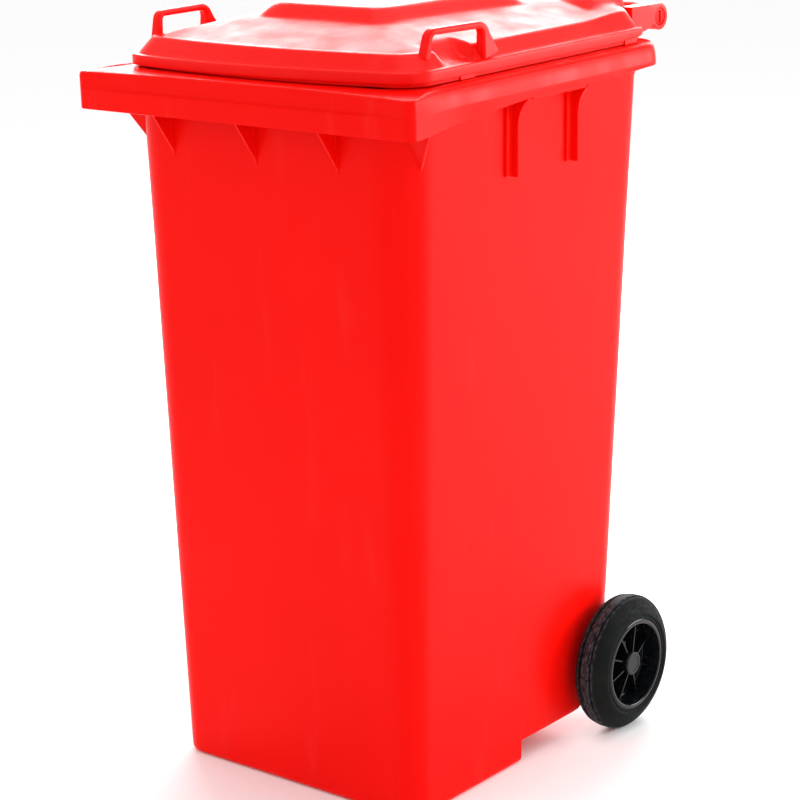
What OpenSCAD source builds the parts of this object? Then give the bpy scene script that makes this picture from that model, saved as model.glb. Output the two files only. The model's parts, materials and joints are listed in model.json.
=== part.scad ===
// Two-wheeled refuse bin of the 240 litre class, in millimetres.
// It stands on the floor at z = 0, its front faces -Y and its axle lies along X.
// The origin is on the floor, midway between front lip and handle and between the sides.

/* [Overall] */
// Depth from the front of the lip to the back of the handle
overall_d = 700; // [580:10:840]
// Height of the rim's top face above the floor
rim_z = 1005; // [835:5:1210]
// Width of the body between its side walls' outer faces, at the rim
body_top_w = 492; // [400:1:600]

/* [Body shell] */
// How much each side leans in from rim to floor
side_draft = 28; // [15:1:40]
// How much the front wall leans in from rim to floor
front_draft = 10; // [4:1:30]
// How much the rear wall leans in from rim to floor
rear_draft = 70; // [40:1:90]
// Distance from the front of the lip back to the front wall, at the rim
lip_reach = 46; // [40:1:60]
// Distance from the rear wall forward of the back of the handle, at the rim
handle_reach = 102; // [96:1:130]
// Wall thickness
wall_t = 4; // [3:0.5:6]
// Floor thickness
floor_t = 6; // [4:0.5:8]
// Corner radius of the body at the rim
corner_top_r = 58; // [40:1:70]
// Corner radius of the body at the floor
corner_bot_r = 40; // [25:1:50]
// Rounding of the bottom edge
bottom_edge_r = 10; // [4:1:14]
// Height of the raised rear part of the floor
step_h = 30; // [20:1:45]
// Distance of the step in the floor behind the front wall
step_back = 256; // [180:1:300]

/* [Rim] */
// How far the front lip, the widest place, stands out past each side wall
lip_out = 47.5; // [40:0.5:60]
// How far the rim stands out past each side wall
rim_out = 30; // [24:0.5:38]
// Thickness of the rim's top flange
rim_t = 5; // [4:0.5:8]
// Thickness of the rim's hanging skirt
skirt_t = 4; // [3:0.5:6]
// Height of the skirt at the front lip
lip_h = 54; // [45:1:65]
// Height of the skirt along the sides
side_skirt_h = 37; // [30:1:44]
// How far the lower band stands proud of the front lip
band_t = 3.5; // [2:0.5:6]
// Height of the lower band
band_h = 30; // [20:1:36]
// Length along which the wide front lip runs at full width
lip_run = 38; // [25:1:60]
// Length along which the lip narrows to the side rim
lip_blend = 92; // [60:1:120]
// Rounding of the rim's front corners
lip_corner_r = 12; // [6:1:20]
// Rounding of the rim's rear corners
rim_rear_r = 40; // [20:1:60]
// How far the rim stands out behind the rear wall
rim_rear_reach = 6; // [4:1:10]
// Thickness of every gusset, rib and web
web_t = 4; // [3:0.5:6]
// Height of the gussets below the front lip
gusset_h = 56; // [40:1:70]
// Spacing of the three front gussets
gusset_pitch = 142; // [120:1:150]
// How far the row of front gussets sits to the right of the centre line
gusset_shift = -10; // [-15:1:15]
// How far each side rib stands out from the wall
rib_out = 14; // [8:1:18]
// Height of the side ribs' lower ends above the floor
rib_foot_z = 861; // [760:1:880]
// Distance of the first side rib behind the front of the lip
rib_first = 272; // [240:1:300]
// Spacing of the two side ribs
rib_pitch = 137; // [100:1:150]

/* [Hinge and handle] */
// Distance of the hinge axis in front of the back of the handle
hinge_in = 38; // [34:1:50]
// Height of the hinge axis above the rim
hinge_up = 23; // [22:1:40]
// Radius of the handle bar
bar_r = 17; // [14:0.5:20]
// Distance of each handle bracket inside the lid's side edge
bracket_in = 60; // [50:1:80]
// Thickness of each handle bracket
bracket_t = 20; // [14:1:26]
// Height of each bracket's root on the rear wall
bracket_drop = 42; // [30:1:46]
// Radius of the hinge eyes
eye_r = 19; // [16:0.5:22]
// Width of each hinge eye of the lid
eye_w = 24; // [18:1:26]
// Radius of the hinge pin's shank
pin_r = 6; // [5:0.5:8]
// Radius of the hinge pin's head
pin_head_r = 12; // [10:0.5:14]
// Height of the hinge pin's head
pin_head_h = 6; // [4:0.5:8]

/* [Lid] */
// Distance of the lid's side edges inside the rim's outer edges
lid_in = 18; // [10:1:24]
// Distance of the lid's front edge behind the front of the lip
lid_back = 32; // [24:1:50]
// How far the lid's front edge bows forward in the middle
lid_bow = 16; // [8:1:24]
// Gap between the rim and the lid's lower edge
lid_gap = 6; // [3:0.5:10]
// Height of the lid's upright lower edge
lid_lip_h = 11; // [8:1:16]
// Height of the sloping skirt above that edge
lid_skirt_h = 23; // [15:1:30]
// How far the skirt slopes in
lid_skirt_in = 22; // [14:1:30]
// Thickness of the lid's walls
lid_t = 3.5; // [3:0.5:5]
// Radius of the lid's front corners
lid_corner_r = 60; // [40:1:70]
// Rise of the deck from the skirt to the foot of the dome
deck_rise = 20; // [12:1:26]
// Height of the dome above the deck
dome_h = 20; // [12:1:30]
// Width of the dome at its foot
dome_w = 236; // [196:2:284]
// Distance of the dome's front behind the lid's front edge
dome_front = 132; // [110:1:160]
// Distance of the dome's rear in front of the raised bridge
dome_back = 52; // [40:1:70]
// How far the dome's sides slope in
dome_in = 20; // [12:1:30]
// Length of the raised bridge at the back of the lid
bridge_l = 90; // [70:1:110]
// Height of the bridge's top above the lid's upper skirt edge
bridge_h = 26; // [20:1:40]
// How far the bridge reaches past each handle bracket
bridge_past = 2; // [0:1:6]

/* [Lid handles] */
// Length of each lid handle at its feet
loop_l = 126; // [118:1:150]
// Distance of the lid handles behind the lid's front edge
loop_back = 60; // [50:1:80]
// Length of each foot of a lid handle
loop_foot_l = 18; // [14:1:24]
// Height of the finger gap above the lid
loop_gap_h = 20; // [18:1:30]
// Width of the handle strap
loop_strap_w = 14; // [12:1:20]
// Thickness of the handle strap
loop_strap_t = 8; // [6:0.5:11]

/* [Wheels] */
// Radius of the wheel over the tyre
wheel_r = 100; // [83:1:125]
// Width of the tyre
tyre_w = 48; // [40:1:60]
// Thickness of the tyre between its tread and the rim
tyre_t = 32; // [26:0.5:36]
// Thickness of the rim's ring
rim_ring_t = 7; // [5:0.5:9]
// Gap between the body's side at the floor and the wheel
wheel_gap = 18; // [14:1:26]
// Distance of the axle in front of the rear wall, at the axle's height
axle_in = 34; // [28:1:44]
// Number of spokes
spokes = 8; // [5:1:12]
// Thickness of each spoke
spoke_t = 2.5; // [2:0.5:5]
// Radius of the wheel hub
hub_r = 17; // [15:0.5:19]

/* [Axle and catch] */
// Radius of the axle
axle_r = 10; // [8:0.5:11]
// Depth of the catch grooves in the axle
groove_depth = 2.5; // [2:0.1:3]
// Width of the catch grooves
groove_w = 7; // [6.5:0.5:9]
// Radius of the catch pin's body
catch_r = 4.5; // [3.5:0.5:5]
// Radius of the catch pin's tip
catch_tip_r = 2.5; // [2:0.25:3]
// Radius of the spring wire
wire_r = 0.5; // [0.4:0.1:0.8]
// Thickness of the thrust washers
washer_t = 3; // [2:0.5:4]
// Radius of the thrust washers
washer_r = 16; // [14:1:19]
// Clearance of a part that turns on a shaft, on the radius
turn_fit = 0.08; // [0.03:0.01:0.1]
// Clearance between neighbouring parts
gap = 0.3; // [0.2:0.1:0.5]

/* [Hidden] */
$fn = 64;
red = [0.86, 0.07, 0.05];
black = [0.07, 0.07, 0.075];
rubber = [0.16, 0.16, 0.17];
dark_grey = [0.2, 0.21, 0.22];
steel = [0.72, 0.73, 0.75];
sliver = 0.1;

// widths that follow the body's
lip_w = body_top_w + 2 * lip_out;
rim_side_w = body_top_w + 2 * rim_out;
lid_w = rim_side_w - 2 * lid_in;

// planes of the body
front_y = -overall_d / 2;
back_y = overall_d / 2;
lip_y = front_y + band_t;
wall_front_y = front_y + lip_reach;
wall_rear_y = back_y - handle_reach;
rim_rear_y = wall_rear_y + rim_rear_reach;
lip_z = rim_z - lip_h;
side_skirt_z = rim_z - side_skirt_h;
step_y = wall_front_y + step_back;
function mix(a, b, t) = a + (b - a) * t;
function half_w(z) = body_top_w / 2 - side_draft * (1 - z / rim_z);
function front_at(z) = wall_front_y + front_draft * (1 - z / rim_z);
function rear_at(z) = wall_rear_y - rear_draft * (1 - z / rim_z);
function corner_at(z) = mix(corner_bot_r, corner_top_r, z / rim_z);

// axle and wheels
seat_r = wheel_r - tyre_t;
dish_r = seat_r - rim_ring_t;
axle_z = wheel_r;
axle_y = rear_at(axle_z) - axle_in;
wheel_in_x = half_w(0) + wheel_gap;
wheel_out_x = wheel_in_x + tyre_w;
notch_y = axle_y - axle_r - 24;
notch_z = wheel_r * 2 - 10;
notch_r = 58;
cheek_out_x = half_w(0) - 4;
cheek_t = 24;
inner_web_x = 70;
web_reach = axle_y + 24;
boss_r = axle_r + 9;
hub_in_x = cheek_out_x + washer_t + 2 * gap;
hub_out_x = wheel_out_x - 9;
axle_end_x = hub_out_x - 4;
groove_x = (wheel_in_x + axle_end_x) / 2 + 2;
hub_bore_r = axle_r + turn_fit;

// catch: radii are measured from the axle's centre
catch_tip_at = axle_r - groove_depth + gap;
catch_body_at = axle_r + gap;
catch_body_top = catch_body_at + 6;
catch_stem_top = catch_body_top + 5;
catch_well_top = catch_body_top + 13;
catch_bore_r = catch_r + gap;
catch_boss_r = catch_bore_r + 3;
spring_turns = 5;

// hinge
hinge_y = back_y - hinge_in;
hinge_z = rim_z + hinge_up;
bar_y = back_y - bar_r;
bracket_x = lid_w / 2 - bracket_in;
eye_in_x = bracket_x + gap;
eye_out_x = eye_in_x + eye_w;
pin_tip_x = bracket_x - bracket_t + 2;

// lid planes
lid_z = rim_z + lid_gap;
lid_lip_z = lid_z + lid_lip_h;
lid_deck_z = lid_lip_z + lid_skirt_h;
plateau_z = lid_deck_z + deck_rise;
dome_z = plateau_z + dome_h;
lid_front_y = front_y + lid_back;
lid_rear_y = rim_rear_y + 2;
dome_y = lid_front_y + dome_front;
bridge_y = lid_rear_y - bridge_l;
bridge_w = 2 * (bracket_x + bridge_past);
dome_l = bridge_y - dome_back - dome_y;
loop_y = lid_front_y + loop_back;
loop_x = lid_w / 2 - lid_skirt_in * 0.75;
loop_gap_l = loop_l - 2 * loop_foot_l;
loop_top_z = lid_deck_z + loop_gap_h + loop_strap_t;

// ---------- body ----------
// rounded rectangle of the body's plan at height z, moved in by d
module body_plan(z, d) {
    r = corner_at(z) - d;
    for (x = [-1, 1], y = [front_at(z) + d + r, rear_at(z) - d - r])
        translate([x * (half_w(z) - d - r), y, z])
            cylinder(r = r, h = sliver, $fn = 32);
}

// tapered block between the heights z0 and z1, with a softened bottom edge
module body_block(d, z0, z1) {
    hull() {
        body_plan(z0, d + bottom_edge_r * 0.8);
        body_plan(z0 + bottom_edge_r * 0.4, d + bottom_edge_r * 0.2);
        body_plan(z0 + bottom_edge_r, d);
        body_plan(z1 - sliver, d);
    }
}

// space behind the low part of the body, where the axle and the wheels stand
module wheel_space(d) {
    r = notch_r - d;
    w = half_w(notch_z) - d;
    translate([0, 0, -1]) linear_extrude(notch_z + 1 + d) difference() {
        translate([-lip_w / 2, notch_y - d - r]) square([lip_w, back_y - notch_y + d + r]);
        translate([-w, notch_y - d - 2 * r]) square([2 * w, r]);
        translate([-w + r, notch_y - d - r]) circle(r = r);
        translate([w - r, notch_y - d - r]) circle(r = r);
        translate([-w + r, notch_y - d - 2 * r]) square([2 * (w - r), 2 * r]);
    }
}

// raised rear part of the floor
module floor_step(d) {
    translate([-lip_w / 2, step_y - d, -1]) cube([lip_w, overall_d, step_h + 1 + d]);
}

module body_hollow() {
    difference() {
        body_block(wall_t, floor_t, rim_z + 1);
        wheel_space(wall_t);
        floor_step(wall_t);
        translate([0, 0, floor_t - wall_t]) floor_step(wall_t);
    }
}

// width of the rim at the fraction t of the blend from lip to side
function blend_w(t) = mix(lip_w, rim_side_w, (1 - cos(180 * t)) / 2);

// plan of the rim, moved in by d along the front and sides and by rear_d at the back
function rim_half(d, rear_d) = concat(
    [for (a = [-90:15:0]) [lip_w / 2 - lip_corner_r + (lip_corner_r - d) * cos(a),
        lip_y + lip_corner_r + (lip_corner_r - d) * sin(a)]],
    [for (t = [0:0.125:1]) [blend_w(t) / 2 - d, lip_y + lip_run + lip_blend * t]],
    [for (a = [0:15:90]) [rim_side_w / 2 - rim_rear_r + (rim_rear_r - d) * cos(a),
        rim_rear_y - rear_d - rim_rear_r + (rim_rear_r - d) * sin(a)]]);
function mirrored(half) = concat(half,
    [for (i = [len(half) - 1:-1:0]) [-half[i][0], half[i][1]]]);

module rim() {
    translate([0, 0, rim_z - rim_t]) linear_extrude(rim_t) polygon(mirrored(rim_half(0, 0)));
    difference() {
        translate([0, 0, lip_z]) linear_extrude(lip_h - 1) difference() {
            polygon(mirrored(rim_half(0, 0)));
            polygon(mirrored(rim_half(skirt_t, 2 * rim_rear_reach)));
        }
        taper_y = lip_y + lip_run + skirt_t;
        translate([-lip_w, 0, 0]) rotate([90, 0, 90]) linear_extrude(2 * lip_w)
            polygon([[taper_y, lip_z - 1], [taper_y, lip_z],
                [lip_y + rib_first, side_skirt_z], [back_y, side_skirt_z],
                [back_y, lip_z - 1]]);
    }
    // proud lower band with a sloping top edge
    band_half = lip_w / 2 - lip_corner_r / 2;
    translate([-band_half, 0, 0]) rotate([90, 0, 90]) linear_extrude(2 * band_half)
        polygon([[lip_y + skirt_t / 2, lip_z], [front_y, lip_z],
            [front_y, lip_z + band_h - band_t], [lip_y, lip_z + band_h],
            [lip_y + skirt_t / 2, lip_z + band_h]]);
}

// triangular gussets between the front wall and the lip; the outer two meet the corners
module front_gussets() {
    outer = half_w(lip_z) - corner_top_r / 2;
    gusset_y = front_at(lip_z) + 3;
    for (x = concat([-outer, outer], [for (i = [-1:1]) gusset_shift + i * gusset_pitch]))
        translate([x - web_t / 2, 0, 0]) rotate([90, 0, 90]) linear_extrude(web_t)
            polygon([[lip_y + skirt_t / 2, rim_z - rim_t], [lip_y + skirt_t / 2, lip_z + 3],
                [gusset_y, lip_z - gusset_h - 4], [gusset_y, rim_z - rim_t]]);
}

// ribs on both sides; each flares out under the rim
module side_ribs() {
    flare_r = rim_side_w / 2 - skirt_t / 2 - half_w(side_skirt_z) - rib_out;
    out_x = half_w(side_skirt_z) + rib_out;
    for (s = [0, 1], i = [0, 1]) mirror([s, 0, 0])
        translate([0, lip_y + rib_first + i * rib_pitch, 0]) rotate([90, 0, 0])
            linear_extrude(web_t) polygon(concat(
                [[half_w(rib_foot_z) - 1, rib_foot_z],
                    [out_x - side_draft * (rim_z - rib_foot_z) / rim_z * 0.5, rib_foot_z]],
                [for (a = [180:-15:90]) [out_x + flare_r * (1 + cos(a)),
                    side_skirt_z - flare_r * (1 - sin(a))]],
                [[out_x + flare_r, rim_z - rim_t], [half_w(rim_z) - 1, rim_z - rim_t]]));
}

// gussets beside the front corners; each flares out under the rim like a side rib
module corner_gussets() {
    y = front_at(lip_z) + corner_top_r - 14;
    outer_x = blend_w((y - lip_y - lip_run) / lip_blend) / 2 - skirt_t / 2 - 1;
    root_x = half_w(lip_z) - 8;
    for (s = [0, 1]) mirror([s, 0, 0]) translate([0, y, 0]) rotate([90, 0, 0])
        linear_extrude(web_t)
            polygon([[root_x, lip_z - gusset_h], [half_w(lip_z), lip_z - gusset_h],
                [half_w(lip_z) + rib_out - 2, lip_z], [outer_x, lip_z + side_skirt_h / 2],
                [outer_x, rim_z - rim_t], [root_x, rim_z - rim_t]]);
}

// brackets and bar at the back; the brackets also carry the lid
module handle() {
    for (s = [0, 1]) mirror([s, 0, 0]) translate([bracket_x - bracket_t, 0, 0])
        rotate([90, 0, 90]) linear_extrude(bracket_t) union() {
            polygon([[rear_at(rim_z) - wall_t, rim_z - bracket_drop], [rear_at(rim_z) - wall_t, rim_z],
                [lid_rear_y + 4, rim_z], [hinge_y - eye_r + 2, hinge_z + 4], [bar_y, hinge_z + bar_r],
                [bar_y, hinge_z - bar_r], [hinge_y, hinge_z - eye_r]]);
            translate([hinge_y, hinge_z]) circle(r = eye_r - 1);
            translate([bar_y, hinge_z]) circle(r = bar_r);
        }
    translate([-bracket_x + bracket_t / 2, bar_y, hinge_z]) rotate([0, 90, 0])
        cylinder(r = bar_r, h = 2 * bracket_x - bracket_t);
}

// webs in the wheel space that hold the axle
module axle_webs() {
    for (s = [0, 1]) mirror([s, 0, 0]) {
        for (w = [[cheek_out_x - cheek_t, cheek_t], [inner_web_x, web_t]])
            translate([w[0], 0, 0]) rotate([90, 0, 90]) linear_extrude(w[1])
                polygon([[notch_y - notch_r, notch_z + 1], [notch_y - notch_r, axle_z - 50],
                    [notch_y, axle_z - 50], [axle_y + boss_r - 6, axle_z - boss_r],
                    [web_reach, axle_z], [web_reach, notch_z + 1]]);
        translate([cheek_out_x - cheek_t, axle_y, axle_z]) rotate([0, 90, 0])
            cylinder(r = boss_r, h = cheek_t);
    }
}

module along_x(y, z) { translate([0, y, z]) rotate([0, 90, 0]) children(); }

module body() {
    color(red) difference() {
        union() {
            difference() {
                body_block(0, 0, rim_z);
                wheel_space(0);
                floor_step(0);
            }
            rim();
            front_gussets();
            side_ribs();
            corner_gussets();
            handle();
            axle_webs();
        }
        body_hollow();
        along_x(axle_y, axle_z) translate([0, 0, -lip_w / 2]) cylinder(r = axle_r + 0.1, h = lip_w);
        for (s = [0, 1]) mirror([s, 0, 0]) translate([pin_tip_x - 1, hinge_y, hinge_z])
            rotate([0, 90, 0]) cylinder(r = pin_r, h = bracket_t);
    }
}

// ---------- lid ----------
// plan of the lid, moved in by d; its front edge bows forward
function lid_half(d) = concat(
    [for (x = [0:0.25:1]) [x * (lid_w / 2 - lid_corner_r), lid_front_y + d + lid_bow * x * x]],
    [for (a = [-75:15:0]) [lid_w / 2 - lid_corner_r + (lid_corner_r - d) * cos(a),
        lid_front_y + lid_bow + lid_corner_r + (lid_corner_r - d) * sin(a)]],
    [[lid_w / 2 - d, lid_rear_y - d - 12], [lid_w / 2 - d - 12, lid_rear_y - d]]);
module lid_slab(d, z, h) {
    translate([0, 0, z]) linear_extrude(h) polygon(mirrored(lid_half(d)));
}

module lid_block(d) {
    open = d > 0 ? 1 : 0;
    hull() {
        lid_slab(d, lid_z - open, lid_lip_h + open - d / 2);
        lid_slab(d + lid_skirt_in, lid_deck_z - d - sliver, sliver);
        translate([0, 0, plateau_z - d - sliver]) linear_extrude(sliver)
            translate([-dome_w / 2 - 10 + d, dome_y - 10 + d])
                square([dome_w + 20 - 2 * d, dome_l + 20 - 2 * d]);
    }
}

module lid_dome(d) {
    hull() {
        translate([-dome_w / 2 + d, dome_y + d, plateau_z - 2 * d - 4])
            cube([dome_w - 2 * d, dome_l - 2 * d, sliver]);
        translate([-dome_w / 2 + d, dome_y + d, plateau_z - d])
            cube([dome_w - 2 * d, dome_l - 2 * d, sliver]);
        translate([-dome_w / 2 + dome_in + d, dome_y + dome_in + d, dome_z - d - sliver])
            cube([dome_w - 2 * dome_in - 2 * d, dome_l - 2 * dome_in - 2 * d, sliver]);
    }
}

// raised bridge across the back of the lid
module lid_bridge(d) {
    foot_z = lid_z + (d > 0 ? -1 : 1);
    top_z = lid_deck_z + bridge_h - d;
    w = bridge_w / 2 - d;
    translate([-w, 0, 0]) rotate([90, 0, 90]) linear_extrude(2 * w)
        polygon([[bridge_y + d, foot_z], [bridge_y + d, lid_deck_z],
            [bridge_y + d + bridge_h - 4, top_z], [lid_rear_y - d - 4, top_z],
            [lid_rear_y - d, top_z - 4], [lid_rear_y - d, foot_z]]);
}

// strap handle standing on the lid's edge
module lid_loops() {
    lean = 8;
    for (s = [0, 1]) mirror([s, 0, 0]) translate([loop_x - loop_strap_w / 2, loop_y, 0])
        rotate([90, 0, 90]) linear_extrude(loop_strap_w)
            polygon([[0, lid_lip_z], [lean - 2, loop_top_z - 5], [lean + 3, loop_top_z],
                [loop_l - lean - 3, loop_top_z], [loop_l - lean + 2, loop_top_z - 5],
                [loop_l, lid_deck_z], [loop_l + lean, lid_lip_z]]);
}

module lid_loop_gaps() {
    for (s = [0, 1]) mirror([s, 0, 0])
        translate([loop_x - loop_strap_w, loop_y + (loop_l - loop_gap_l) / 2, lid_deck_z])
            cube([2 * loop_strap_w, loop_gap_l, loop_gap_h]);
}

// arms and eyes that carry the lid on the hinge pins
module lid_arms() {
    for (s = [0, 1]) mirror([s, 0, 0]) translate([eye_in_x, 0, 0]) rotate([90, 0, 90])
        linear_extrude(eye_w) union() {
            translate([hinge_y, hinge_z]) circle(r = eye_r);
            polygon([[lid_rear_y - 14, lid_z], [lid_rear_y - 14, lid_deck_z + 4],
                [hinge_y, hinge_z + eye_r], [hinge_y, hinge_z - 6], [lid_rear_y + 14, lid_z]]);
        }
}

// pads under the lid's edge that rest on the rim
module lid_pads() {
    for (x = [-1, 1], y = [lid_front_y + 120, lid_rear_y - 80])
        translate([x * (lid_w / 2 - lid_t - 2) - 4, y, rim_z + gap]) cube([8, 30, lid_gap + lid_lip_h]);
}

module lid() {
    color(red) difference() {
        union() {
            difference() {
                union() {
                    lid_block(0);
                    lid_dome(0);
                    lid_bridge(0);
                    lid_loops();
                }
                lid_block(lid_t);
                lid_dome(lid_t);
                lid_bridge(lid_t);
                lid_loop_gaps();
            }
            lid_arms();
            lid_pads();
        }
        for (s = [0, 1]) mirror([s, 0, 0]) {
            translate([eye_in_x - 1, hinge_y, hinge_z]) rotate([0, 90, 0])
                cylinder(r = pin_r + turn_fit, h = eye_w + 2);
            translate([eye_out_x - pin_head_h - gap, hinge_y, hinge_z]) rotate([0, 90, 0])
                cylinder(r = pin_head_r + gap, h = eye_w);
        }
    }
}

module hinge_pin() {
    color(red) translate([0, hinge_y, hinge_z]) rotate([0, 90, 0]) difference() {
        union() {
            translate([0, 0, pin_tip_x]) cylinder(r = pin_r, h = eye_out_x - 2 - pin_tip_x);
            translate([0, 0, eye_out_x - pin_head_h]) cylinder(r = pin_head_r, h = pin_head_h - 1);
        }
        translate([-pin_head_r * 0.7, -2, eye_out_x - 4]) cube([pin_head_r * 1.4, 4, 4]);
    }
}

// ---------- axle and wheels ----------
module axle() {
    chamfer = 1.5;
    color(steel) along_x(axle_y, axle_z) rotate_extrude() polygon(concat(
        [[0, -axle_end_x], [axle_r - chamfer, -axle_end_x], [axle_r, -axle_end_x + chamfer]],
        [for (s = [-1, 1]) each [[axle_r, s * groove_x - groove_w / 2],
            [axle_r - groove_depth, s * groove_x - groove_w / 2],
            [axle_r - groove_depth, s * groove_x + groove_w / 2],
            [axle_r, s * groove_x + groove_w / 2]]],
        [[axle_r, axle_end_x - chamfer], [axle_r - chamfer, axle_end_x], [0, axle_end_x]]));
}

module wheel_place() { translate([0, axle_y, axle_z]) rotate([0, 90, 0]) children(); }

module tyre() {
    // section from the inner face to the outer face; radius first
    bulge = 5;
    color(rubber) wheel_place() rotate_extrude($fn = 96) translate([0, wheel_in_x]) polygon([
        [seat_r, 2], [seat_r + 10, 0], [wheel_r - 14, 1], [wheel_r - bulge, 5],
        [wheel_r - 1.5, 10], [wheel_r - 1.5, 12], [wheel_r - 3, 12.5], [wheel_r - 3, 14.5],
        [wheel_r, 15], [wheel_r, tyre_w - 19], [wheel_r - 3, tyre_w - 18.5],
        [wheel_r - 3, tyre_w - 16.5], [wheel_r - 1.5, tyre_w - 16],
        [wheel_r - bulge, tyre_w - 8], [wheel_r - 14, tyre_w - 2], [seat_r + 10, tyre_w],
        [seat_r + 3, tyre_w - 1], [seat_r, tyre_w - 3]]);
}

module wheel_rim() {
    web_x = wheel_in_x + 14;
    color(black) difference() {
        union() {
            wheel_place() rotate_extrude($fn = 96) polygon([
                [seat_r, wheel_in_x + 2.5], [seat_r, wheel_out_x - 3.5],
                [dish_r + 1, wheel_out_x - 2], [dish_r, wheel_out_x - 4],
                [dish_r - 2, web_x + 6], [dish_r - 4, web_x + 4], [hub_r - 1, web_x + 4],
                [hub_r - 1, web_x], [dish_r - 4, web_x],
                [dish_r, wheel_in_x + 2.5]]);
            wheel_place() translate([0, 0, hub_in_x]) cylinder(r = hub_r, h = hub_out_x - hub_in_x);
            for (i = [0:spokes - 1]) wheel_place() rotate([0, 0, (i + 0.5) * 360 / spokes])
                translate([hub_r - 2, -spoke_t / 2, web_x])
                    cube([dish_r - hub_r, spoke_t, wheel_out_x - web_x - 14]);
            translate([groove_x, axle_y, axle_z]) cylinder(r = catch_boss_r, h = catch_well_top + 3);
        }
        wheel_place() translate([0, 0, hub_in_x - 1])
            cylinder(r = hub_bore_r, h = hub_out_x - hub_in_x + 2);
        translate([groove_x, axle_y, axle_z]) cylinder(r = catch_bore_r, h = catch_well_top);
    }
}

// press-in cap that closes the outer end of the hub
module hub_cap() {
    color(dark_grey) wheel_place() union() {
        translate([0, 0, axle_end_x + 1]) cylinder(r = hub_bore_r - gap, h = hub_out_x - axle_end_x);
        translate([0, 0, hub_out_x]) cylinder(r1 = hub_r, r2 = hub_r - 1.5, h = 3);
    }
}
module catch_pin() {
    color(dark_grey) translate([groove_x, axle_y, axle_z]) {
        translate([0, 0, catch_tip_at]) cylinder(r = catch_tip_r, h = catch_body_top - catch_tip_at);
        translate([0, 0, catch_body_at + 1]) cylinder(r = catch_r, h = catch_body_top - catch_body_at - 1);
        translate([0, 0, catch_body_top - 1]) cylinder(r = 2, h = catch_stem_top - catch_body_top + 1);
    }
}

// coil spring as a stack of rings joined by a thin sleeve of short posts
module catch_spring() {
    coil_r = 3.4;
    free_h = catch_well_top - catch_body_top - 2 * wire_r;
    color(steel) translate([groove_x, axle_y, axle_z + catch_body_top + wire_r]) {
        for (i = [0:spring_turns - 1]) translate([0, 0, i * free_h / (spring_turns - 1)])
            rotate_extrude($fn = 32) translate([coil_r, 0]) circle(r = wire_r, $fn = 16);
        for (i = [0:spring_turns - 2])
            rotate([0, 0, i * 180]) translate([coil_r, 0, i * free_h / (spring_turns - 1)])
                cylinder(r = wire_r * 0.8, h = free_h / (spring_turns - 1), $fn = 16);
    }
}

module axle_washer() {
    color(steel) wheel_place() translate([0, 0, cheek_out_x]) difference() {
        cylinder(r = washer_r, h = washer_t);
        translate([0, 0, -1]) cylinder(r = axle_r + 0.2, h = washer_t + 2);
    }
}

module left() { mirror([1, 0, 0]) children(); }

body();
lid();
left() hinge_pin();  // hinge_pin_left
hinge_pin();  // hinge_pin_right
axle();
left() wheel_rim();  // wheel_rim_left
wheel_rim();  // wheel_rim_right
left() tyre();  // tyre_left
tyre();  // tyre_right
left() hub_cap();  // hub_cap_left
hub_cap();  // hub_cap_right
left() catch_pin();  // catch_pin_left
catch_pin();  // catch_pin_right
left() catch_spring();  // catch_spring_left
catch_spring();  // catch_spring_right
left() axle_washer();  // axle_washer_left
axle_washer();  // axle_washer_right
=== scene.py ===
import json
import math

import bmesh
import bpy
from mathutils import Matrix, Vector


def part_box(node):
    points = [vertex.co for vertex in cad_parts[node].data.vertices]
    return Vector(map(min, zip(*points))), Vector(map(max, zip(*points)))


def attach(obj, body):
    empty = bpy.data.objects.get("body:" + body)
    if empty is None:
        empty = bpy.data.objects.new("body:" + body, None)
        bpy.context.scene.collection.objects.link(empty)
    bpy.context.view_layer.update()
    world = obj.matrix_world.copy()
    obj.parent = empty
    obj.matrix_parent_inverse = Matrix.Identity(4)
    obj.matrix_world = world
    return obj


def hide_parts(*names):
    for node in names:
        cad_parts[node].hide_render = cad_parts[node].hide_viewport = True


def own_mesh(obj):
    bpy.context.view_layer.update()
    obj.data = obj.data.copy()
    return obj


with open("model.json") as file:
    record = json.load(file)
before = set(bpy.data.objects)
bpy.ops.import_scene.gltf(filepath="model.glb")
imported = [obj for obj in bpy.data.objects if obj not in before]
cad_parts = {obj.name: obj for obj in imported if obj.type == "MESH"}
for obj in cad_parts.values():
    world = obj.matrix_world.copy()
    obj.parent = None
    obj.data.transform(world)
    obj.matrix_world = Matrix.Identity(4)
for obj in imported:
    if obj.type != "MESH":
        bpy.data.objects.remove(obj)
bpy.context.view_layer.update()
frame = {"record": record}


# ---------------------------------------------------------------- body
# The body is one injection moulding in red HDPE: a deep tapered box with a comb lip round
# its mouth, a wheel bay low at the back, and ribs and gussets that carry the lip. The
# brackets and the handle bar behind it come out of the same mould.
joints = {j["name"]: j for j in frame["record"]["behaviour"]["joints"]}
hinge = Vector(joints["lid_hinge"]["pos_m"])
axle = Vector(joints["wheel_right_spin"]["pos_m"])
body_low, body_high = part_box("body")
front_face, lip_half = body_low.y, body_high.x
rim_top, wall = 1.005, 0.004
mouth_half, side_taper = 0.246, 0.028
mouth_front, front_taper = -0.304, 0.010
side_lip_half, lip_back = 0.276, 0.254
floor_step = 0.030
bay_back, bay_corner, bay_top = 0.117, 0.012, 0.190
bar_y = 0.333
axle_hole = 0.0101

# how a quarter of the plan is divided: steps along the front, round a corner, along a side
FRONT_STEPS = [0, 0.15, 0.3, 0.45, 0.6, 0.75, 0.87, 0.94, 1]
CORNER_STEPS = 10
SIDE_STEPS = [0, 0.02, 0.045, 0.07, 0.095, 0.12, 0.145, 0.17, 0.195, 0.22, 0.26, 0.31, 0.36,
              0.42, 0.48, 0.52, 0.55, 0.568, 0.577, 0.583, 0.60, 0.65, 0.70, 0.76, 0.82, 0.87,
              0.91, 0.94, 0.97, 1]
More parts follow.
